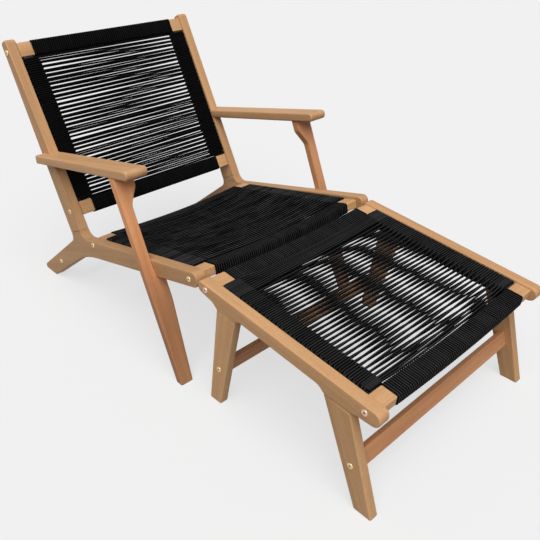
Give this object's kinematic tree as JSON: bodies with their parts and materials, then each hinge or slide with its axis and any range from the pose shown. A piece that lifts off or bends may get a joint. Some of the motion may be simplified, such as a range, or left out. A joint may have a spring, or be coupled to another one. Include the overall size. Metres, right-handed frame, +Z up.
{
  "type": "lounge chair with footrest",
  "caption": "Low wooden lounge chair with a leaning cord-wound back, cord-wound seat and flat armrests, and a separate wooden footrest with a cord-wound top that stands against the seat.",
  "frame": {"origin": "bottom centre of the bounds of chair and footrest together, on the floor", "axes": "+Z up, the front with the footrest faces -Y, +X to the right of someone who looks along +Y"},
  "size_m": [0.696, 1.4602, 0.7781],
  "materials": {
    "wood": "oiled light reddish hardwood",
    "cord": "black braided cord",
    "brass": "yellow plated socket bolts"
  },
  "bodies": {
    "chair": {"armrest_left": "wood", "armrest_right": "wood", "back_bottom_rail": "wood", "back_bottom_rail_bolt_left": "brass", "back_bottom_rail_bolt_right": "brass", "back_bottom_rail_wrap": "cord", "back_cord_winding": "cord", "back_post_left": "wood", "back_post_right": "wood", "back_stile_left": "wood", "back_stile_right": "wood", "back_top_rail": "wood", "back_top_rail_bolt_left": "brass", "back_top_rail_bolt_right": "brass", "back_top_rail_wrap": "cord", "front_leg_left": "wood", "front_leg_right": "wood", "rear_stretcher": "wood", "rear_stretcher_bolt_left": "brass", "rear_stretcher_bolt_right": "brass", "seat_cord_winding": "cord", "seat_front_rail": "wood", "seat_front_rail_bolt_left": "brass", "seat_front_rail_bolt_right": "brass", "seat_front_rail_wrap": "cord", "seat_rear_rail": "wood", "seat_rear_rail_bolt_left": "brass", "seat_rear_rail_bolt_right": "brass", "seat_rear_rail_wrap": "cord", "seat_stile_left": "wood", "seat_stile_right": "wood", "side_frame_left": "wood", "side_frame_right": "wood"},
    "footrest": {"footrest_cord_winding": "cord", "footrest_front_leg_left": "wood", "footrest_front_leg_right": "wood", "footrest_front_rail": "wood", "footrest_front_rail_bolt_left": "brass", "footrest_front_rail_bolt_right": "brass", "footrest_front_rail_wrap": "cord", "footrest_front_stretcher": "wood", "footrest_front_stretcher_bolt_left": "brass", "footrest_front_stretcher_bolt_right": "brass", "footrest_rear_leg_left": "wood", "footrest_rear_leg_right": "wood", "footrest_rear_rail": "wood", "footrest_rear_rail_bolt_left": "brass", "footrest_rear_rail_bolt_right": "brass", "footrest_rear_rail_wrap": "cord", "footrest_rear_stretcher": "wood", "footrest_rear_stretcher_bolt_left": "brass", "footrest_rear_stretcher_bolt_right": "brass", "footrest_side_rail_left": "wood", "footrest_side_rail_right": "wood", "footrest_stile_left": "wood", "footrest_stile_right": "wood"}
  },
  "joints": [
    {"name": "footrest_slide", "type": "slide", "parent": "chair", "child": "footrest", "axis": [0, -1, 0], "range_m": [0, 0.6]}
  ]
}
